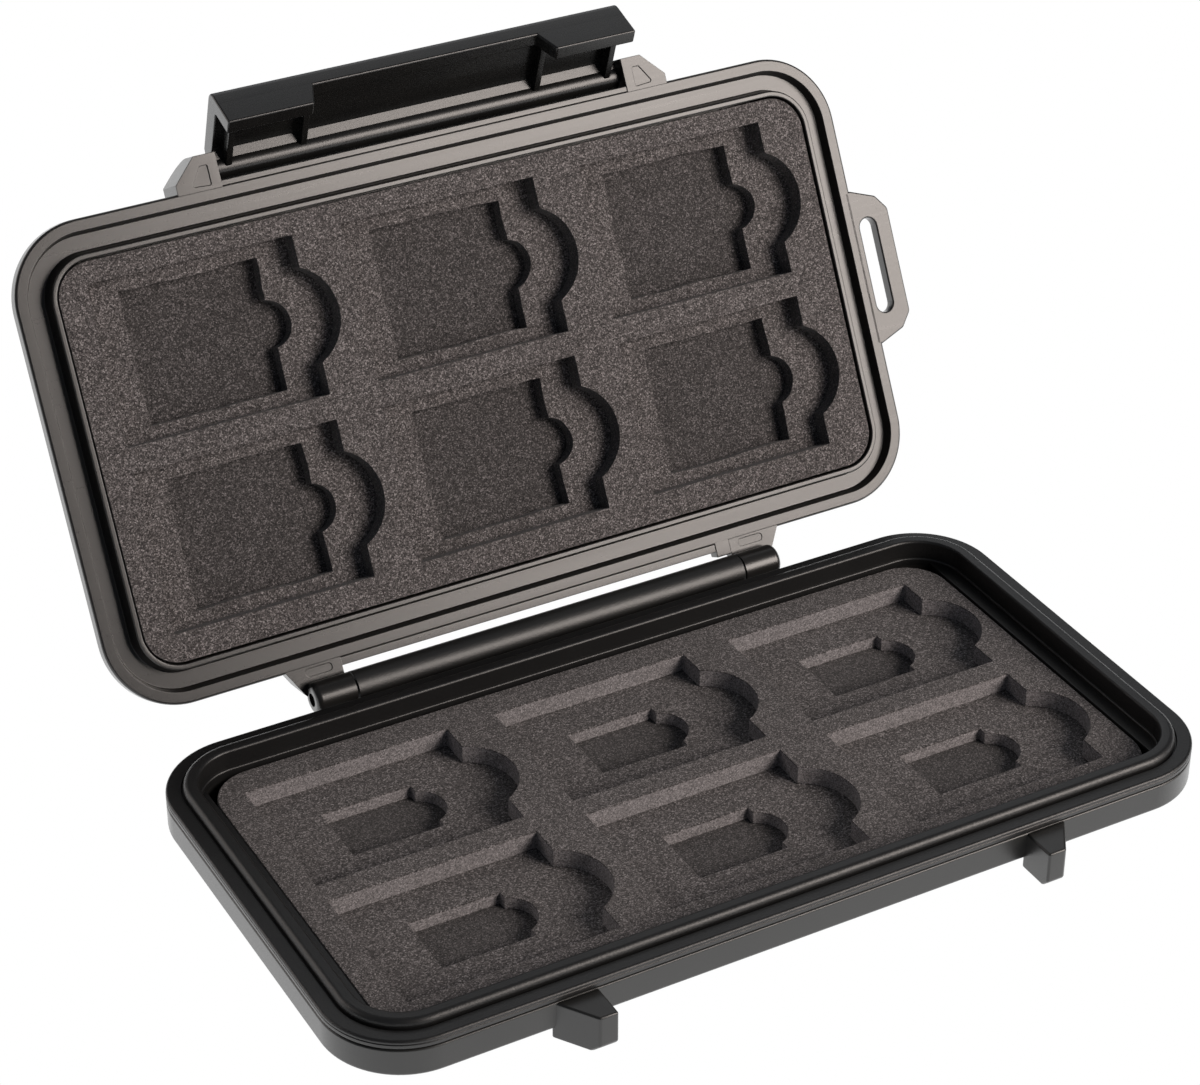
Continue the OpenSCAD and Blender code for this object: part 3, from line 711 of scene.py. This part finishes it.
def hinge_arm():
    """Arm and knuckle on the right, with the heel that stops the lid against the base."""
    root = LID_Y - 0.3
    flare = 2.6
    plan = [(KNUCKLE_IN, root), (KNUCKLE_IN, HINGE.y), (KNUCKLE_OUT - 0.3, HINGE.y),
            (KNUCKLE_OUT + 0.4, HINGE.y - 0.9), (KNUCKLE_OUT + flare, root)]
    arm = prism(plan, RIM_Z, RIM_Z + RIM_T)
    slope_run = 2.6
    slope_drop = RIM_Z + RIM_T - HINGE.z - BARREL_R
    arm = slice_off(arm, (0, HINGE.y - slope_run, RIM_Z + RIM_T), (0, slope_drop, slope_run))
    dip = prism(rounded([(1.6, 0.1, 0.55), (5.9, 0.1, 0.55), (5.9, 1.3, 0.55), (1.6, 1.3, 0.55)],
                        steps=6), RIM_Z - 1, RIM_Z + 0.14)
    dip.data.transform(Matrix.Translation((KNUCKLE_IN, LID_Y, 0)))
    arm = soften(cut(arm, dip), 0.14)
    knuckle = rod(BARREL_R, KNUCKLE_IN, KNUCKLE_OUT, HINGE.y, HINGE.z, sides=72)
    activate(knuckle)
    bpy.ops.object.mode_set(mode="EDIT")
    bpy.ops.mesh.select_all(action="DESELECT")
    bpy.ops.object.mode_set(mode="OBJECT")
    for face in knuckle.data.polygons:
        face.select = face.center.x > KNUCKLE_OUT - SAME
    bpy.ops.object.mode_set(mode="EDIT")
    bpy.ops.mesh.bevel(offset=0.9, segments=6)
    knuckle = leave_edit()
    heel_gap = 0.05
    heel_t = 1.7
    heel_y = HINGE.y + heel_gap - BARREL_GAP - BARREL_R
    heel_end_y = heel_y + BARREL_R + 1
    heel_z = HINGE.z - 1.8
    heel = bar([(heel_y, heel_z), (heel_end_y, heel_z), (heel_end_y, heel_z + heel_t),
                (heel_y, heel_z + heel_t)], KNUCKLE_IN, KNUCKLE_OUT - 1)
    heel = soften(heel, 0.15)
    heel.data.transform(turned_about(HINGE, LID_OPEN))
    return join(arm, knuckle, heel)


def strap_loop():
    """Loop for a wrist strap, with its round-ended slot."""
    past_slot = 4.7
    half = SLOT_L / 2 + past_slot
    loop = prism(rounded([(-1, -half), (0.1, -half), (LOOP_D - 1.8, 1.6 - half, 0.8),
                          (LOOP_D, 3.9 - half, 1.2), (LOOP_D, half - 3.9, 1.2),
                          (LOOP_D - 1.8, half - 1.6, 0.8), (0.1, half), (-1, half)], steps=6),
                 RIM_Z, RIM_Z + LOOP_T)
    slot = prism(rounded(rectangle(SLOT_W / 2, SLOT_L / 2, SLOT_W / 2 - 0.01), steps=10),
                 RIM_Z - 1, RIM_Z + LOOP_T + 1)
    slot_from_rim = 0.5
    slot.data.transform(Matrix.Translation((slot_from_rim + SLOT_W / 2, 0, 0)))
    loop = soften(cut(loop, slot), 0.3, steps=3)
    loop.data.transform(Matrix.Translation((LID_X, 0, 0)))
    return loop


def lid_lips():
    """Lips that widen the rim between the ears and between the hinge arms."""
    sunk = 0.6
    past = 0.5
    low = RIM_Z + 0.15
    front = prism(rectangle(EAR_IN + past, (LATCH_LIP_W + sunk) / 2), low, RIM_Z + RIM_T)
    front.data.transform(Matrix.Translation((0, -LID_Y + (sunk - LATCH_LIP_W) / 2, 0)))
    back = prism(rectangle(KNUCKLE_IN + past, (HINGE_LIP_W + sunk) / 2), low, RIM_Z + RIM_T)
    back.data.transform(Matrix.Translation((0, LID_Y + (HINGE_LIP_W - sunk) / 2, 0)))
    return soften(join(front, back), 0.12)


def bored(piece, left, right, y, z):
    """A piece with the hole of a pin along X taken out of it."""
    return cut(piece, rod(PIN_R + PIN_FIT, left, right, y, z, sides=32))


def lid_shell():
    """Lid moulding: tray, lips, ears, hinge arms and strap loop. Each pin's hole is open at one
    end: the hinge pin's on the left and the latch pin's on the right."""
    ear = latch_ear()
    arm = hinge_arm()
    left_ear = mirrored(ear)
    left_arm = mirrored(arm)
    bored(arm, KNUCKLE_IN - 1, hinge_pin_high.x + 0.1, HINGE.y, HINGE.z)
    bored(left_arm, -KNUCKLE_OUT - 1, -KNUCKLE_IN + 1, HINGE.y, HINGE.z)
    bored(ear, EAR_IN - 1, EAR_OUT + 5, LATCH_PIN.y, LATCH_PIN.z)
    bored(left_ear, latch_pin_low.x - 0.1, -EAR_IN + 1, LATCH_PIN.y, LATCH_PIN.z)
    # Small step on the inner side of the right arm
    step = prism(rectangle(1.3, 1.25), RIM_Z, RIM_Z + RIM_T)
    step.data.transform(Matrix.Translation((KNUCKLE_IN - 1.2, LID_Y + 0.75, 0)))
    shell = join(lid_tray(), lid_lips(), ear, left_ear, arm, left_arm, soften(step, 0.15),
                 strap_loop())
    return settle(shell, "lid_shell_moulding", "lid", "lid_shell", lid_abs,
                  LID_SWING)


def latch():
    """Flip latch: pin tube, plate with a low lip, two hooks, and the ribs behind them.
    It is modelled about its pin, hanging down."""
    tube_r = 2.15
    outer = -3.4
    inner = -0.6
    foot = latch_low.z
    hook_t = 2.3
    hook_y = latch_high.y
    hook_l = 13.5
    lip = foot + hook_t
    plate = bar(rounded([
        (-0.7 * tube_r, 0.7 * tube_r), (outer, -1.2, 0.6), (outer, foot, 1.4),
        (inner + 0.6, foot, 0.3), (inner + 0.6, lip, 0.3), (inner, lip), (inner, -1), (-1.3, 0)],
        steps=6), -LATCH_HALF, LATCH_HALF)
    plate = soften(plate, 0.28, steps=3)
    slope_end = LATCH_HALF - 0.1
    slope = bar([(inner, -3), (0.93 * tube_r, -0.35 * tube_r), (inner, -1.25)],
                -slope_end, slope_end)
    tube = rod(tube_r, -LATCH_HALF, LATCH_HALF, 0, 0, sides=72)
    tube = soften(bored(tube, -LATCH_HALF - 1, LATCH_HALF + 1, 0, 0), 0.2)
    hook_flare = 1.7
    root_x = LATCH_HALF - hook_l - hook_flare
    # The hook runs on into the plate, a hair inside its faces, so that no seam shows
    hair = 0.004
    end = LATCH_HALF - hair
    hook_root = -1.8
    hook = prism([(root_x, hook_root), (root_x, -0.5), (root_x + hook_flare, hook_y),
                  (end, hook_y), (end, hook_root)], foot + hair, lip + hair)
    hook = soften(hook, 0.28, steps=3)
    half_rib = 0.5
    rib = prism(rectangle(half_rib, 1.0), lip - 0.2, -1.2)
    rib.data.transform(Matrix.Translation((LATCH_HALF - hook_l - half_rib, inner + 0.7, 0)))
    rib = soften(rib, 0.12)
    wall_d = LATCH_GAP - inner - 0.2
    wall = prism(rectangle(half_rib, wall_d / 2), lip - 0.2, -0.2)
    wall.data.transform(Matrix.Translation((LATCH_HALF - 1.9, inner - 0.3 + wall_d / 2, 0)))
    wall = soften(wall, 0.12)
    parts = [hook, mirrored(hook), rib, mirrored(rib), wall, mirrored(wall)]
    moulding = join(plate, slope, tube, *parts)
    return settle(moulding, "latch_moulding", "latch", "latch", latch_abs,
                  LATCH_SWING)


def pin(name, node, body, low, high, swing=IN_PLACE):
    """Steel pin with chamfered ends, as long and thick as its node."""
    middle = (low + high) / 2
    made = rod(PIN_R, low.x, high.x, middle.y, middle.z, sides=48)
    soften(made, 0.2, steps=2, angle=60)
    return settle(made, name, body, node, pin_steel, swing)


noise.seed_set(KNIFE_SEED)
base_shell()
hinge_barrel()
rubber_rim()
base_foam()
lid_shell()
lid_foam()
latch()
pin("hinge_pin_wire", "hinge_pin", "base", hinge_pin_low, hinge_pin_high)
pin("latch_pin_wire", "latch_pin", "lid", latch_pin_low, latch_pin_high, LID_SWING)

# The photograph's width and the camera's focal length, in pixels, and the sensor in millimetres
FRAME_W = 1200
FOCAL = 3279.2
SENSOR = 36.0
# Where the camera stands, in millimetres, and how it is turned
CAMERA_AT = Vector((-194.04, -324.40, 288.49))
CAMERA_AZIMUTH = math.radians(29.05)
CAMERA_DROP = math.radians(32.52)
CAMERA_ROLL = math.radians(0.12)


def camera():
    """Camera at the photograph's viewing angle."""
    ahead = Vector((math.sin(CAMERA_AZIMUTH) * math.cos(CAMERA_DROP),
                    math.cos(CAMERA_AZIMUTH) * math.cos(CAMERA_DROP), -math.sin(CAMERA_DROP)))
    level = Vector((math.cos(CAMERA_AZIMUTH), -math.sin(CAMERA_AZIMUTH), 0))
    above = level.cross(ahead)
    right = math.cos(CAMERA_ROLL) * level + math.sin(CAMERA_ROLL) * above
    up = math.cos(CAMERA_ROLL) * above - math.sin(CAMERA_ROLL) * level
    made = bpy.data.objects.new("camera", bpy.data.cameras.new("camera"))
    made.data.sensor_width = SENSOR
    made.data.lens = FOCAL / FRAME_W * SENSOR
    made.data.clip_start = 0.01
    made.matrix_world = Matrix.Translation(CAMERA_AT * MM) @ Matrix(
        (right, up, -ahead)).transposed().to_4x4()
    bpy.context.collection.objects.link(made)
    bpy.context.scene.camera = made


def softbox(name, at, aim, size, power, tint="#ffffff"):
    """A square lamp of that side in metres, turned to what it lights."""
    lamp = bpy.data.lights.new(name, "AREA")
    lamp.color = linear(tint)[:3]
    lamp.shape = "SQUARE"
    lamp.size = size
    lamp.energy = power
    made = bpy.data.objects.new(name, lamp)
    made.location = at
    made.rotation_euler = (Vector(aim) - Vector(at)).to_track_quat("-Z", "Y").to_euler()
    bpy.context.collection.objects.link(made)


def floor():
    """Wide white sheet that the case stands on. The camera sees it white, and the glossy plastic
    mirrors it brighter than that, as an overexposed table."""
    mirrored_strength = 1.7
    bpy.ops.object.select_all(action="DESELECT")
    bpy.ops.mesh.primitive_plane_add(size=8)
    sheet = bpy.context.active_object
    sheet.name = "floor"
    material, tree, output, place = new_material("white_floor")
    matt = add(tree, "ShaderNodeBsdfDiffuse", {"Color": linear("#e6e6e6")})
    path = add(tree, "ShaderNodeLightPath")
    white = add(tree, "ShaderNodeEmission", {"Color": linear("#ffffff")},
                {"Strength": spread(tree, path.outputs["Is Glossy Ray"], 1.0, mirrored_strength)})
    seen = add(tree, "ShaderNodeMath", {"operation": "MAXIMUM"})
    tree.links.new(path.outputs["Is Camera Ray"], seen.inputs[0])
    tree.links.new(path.outputs["Is Glossy Ray"], seen.inputs[1])
    both = add(tree, "ShaderNodeMixShader", links={"Fac": seen.outputs["Value"]})
    tree.links.new(matt.outputs["BSDF"], both.inputs[1])
    tree.links.new(white.outputs["Emission"], both.inputs[2])
    tree.links.new(both.outputs["Shader"], output.inputs["Surface"])
    sheet.data.materials.append(material)


def world():
    """Dim bluish light from all round, which shows as white behind the case."""
    made = bpy.data.worlds.new("studio")
    bpy.context.scene.world = made
    made.use_nodes = True
    tree = made.node_tree
    tree.nodes.clear()
    output = add(tree, "ShaderNodeOutputWorld")
    path = add(tree, "ShaderNodeLightPath")
    dim = add(tree, "ShaderNodeBackground", {"Color": linear("#dbe6f6"), "Strength": 0.14})
    white = add(tree, "ShaderNodeBackground", {"Color": linear("#ffffff"), "Strength": 1.0})
    both = add(tree, "ShaderNodeMixShader", links={"Fac": path.outputs["Is Camera Ray"]})
    tree.links.new(dim.outputs["Background"], both.inputs[1])
    tree.links.new(white.outputs["Background"], both.inputs[2])
    tree.links.new(both.outputs["Shader"], output.inputs["Surface"])


# What the lamps are turned to, in metres
CASE_MIDDLE = (0, 0.02, 0.03)

camera()
floor()
world()
softbox("key_right_front", (0.51, -0.665, 0.46), CASE_MIDDLE, 0.5, 10.4, "#fff4ec")
softbox("fill_behind", (0.40, 0.80, 0.75), CASE_MIDDLE, 0.8, 1.6)
softbox("fill_left", (-0.62, 0.62, 0.40), CASE_MIDDLE, 0.6, 2.2, "#fff4ec")

bpy.context.scene.view_settings.view_transform = "Standard"
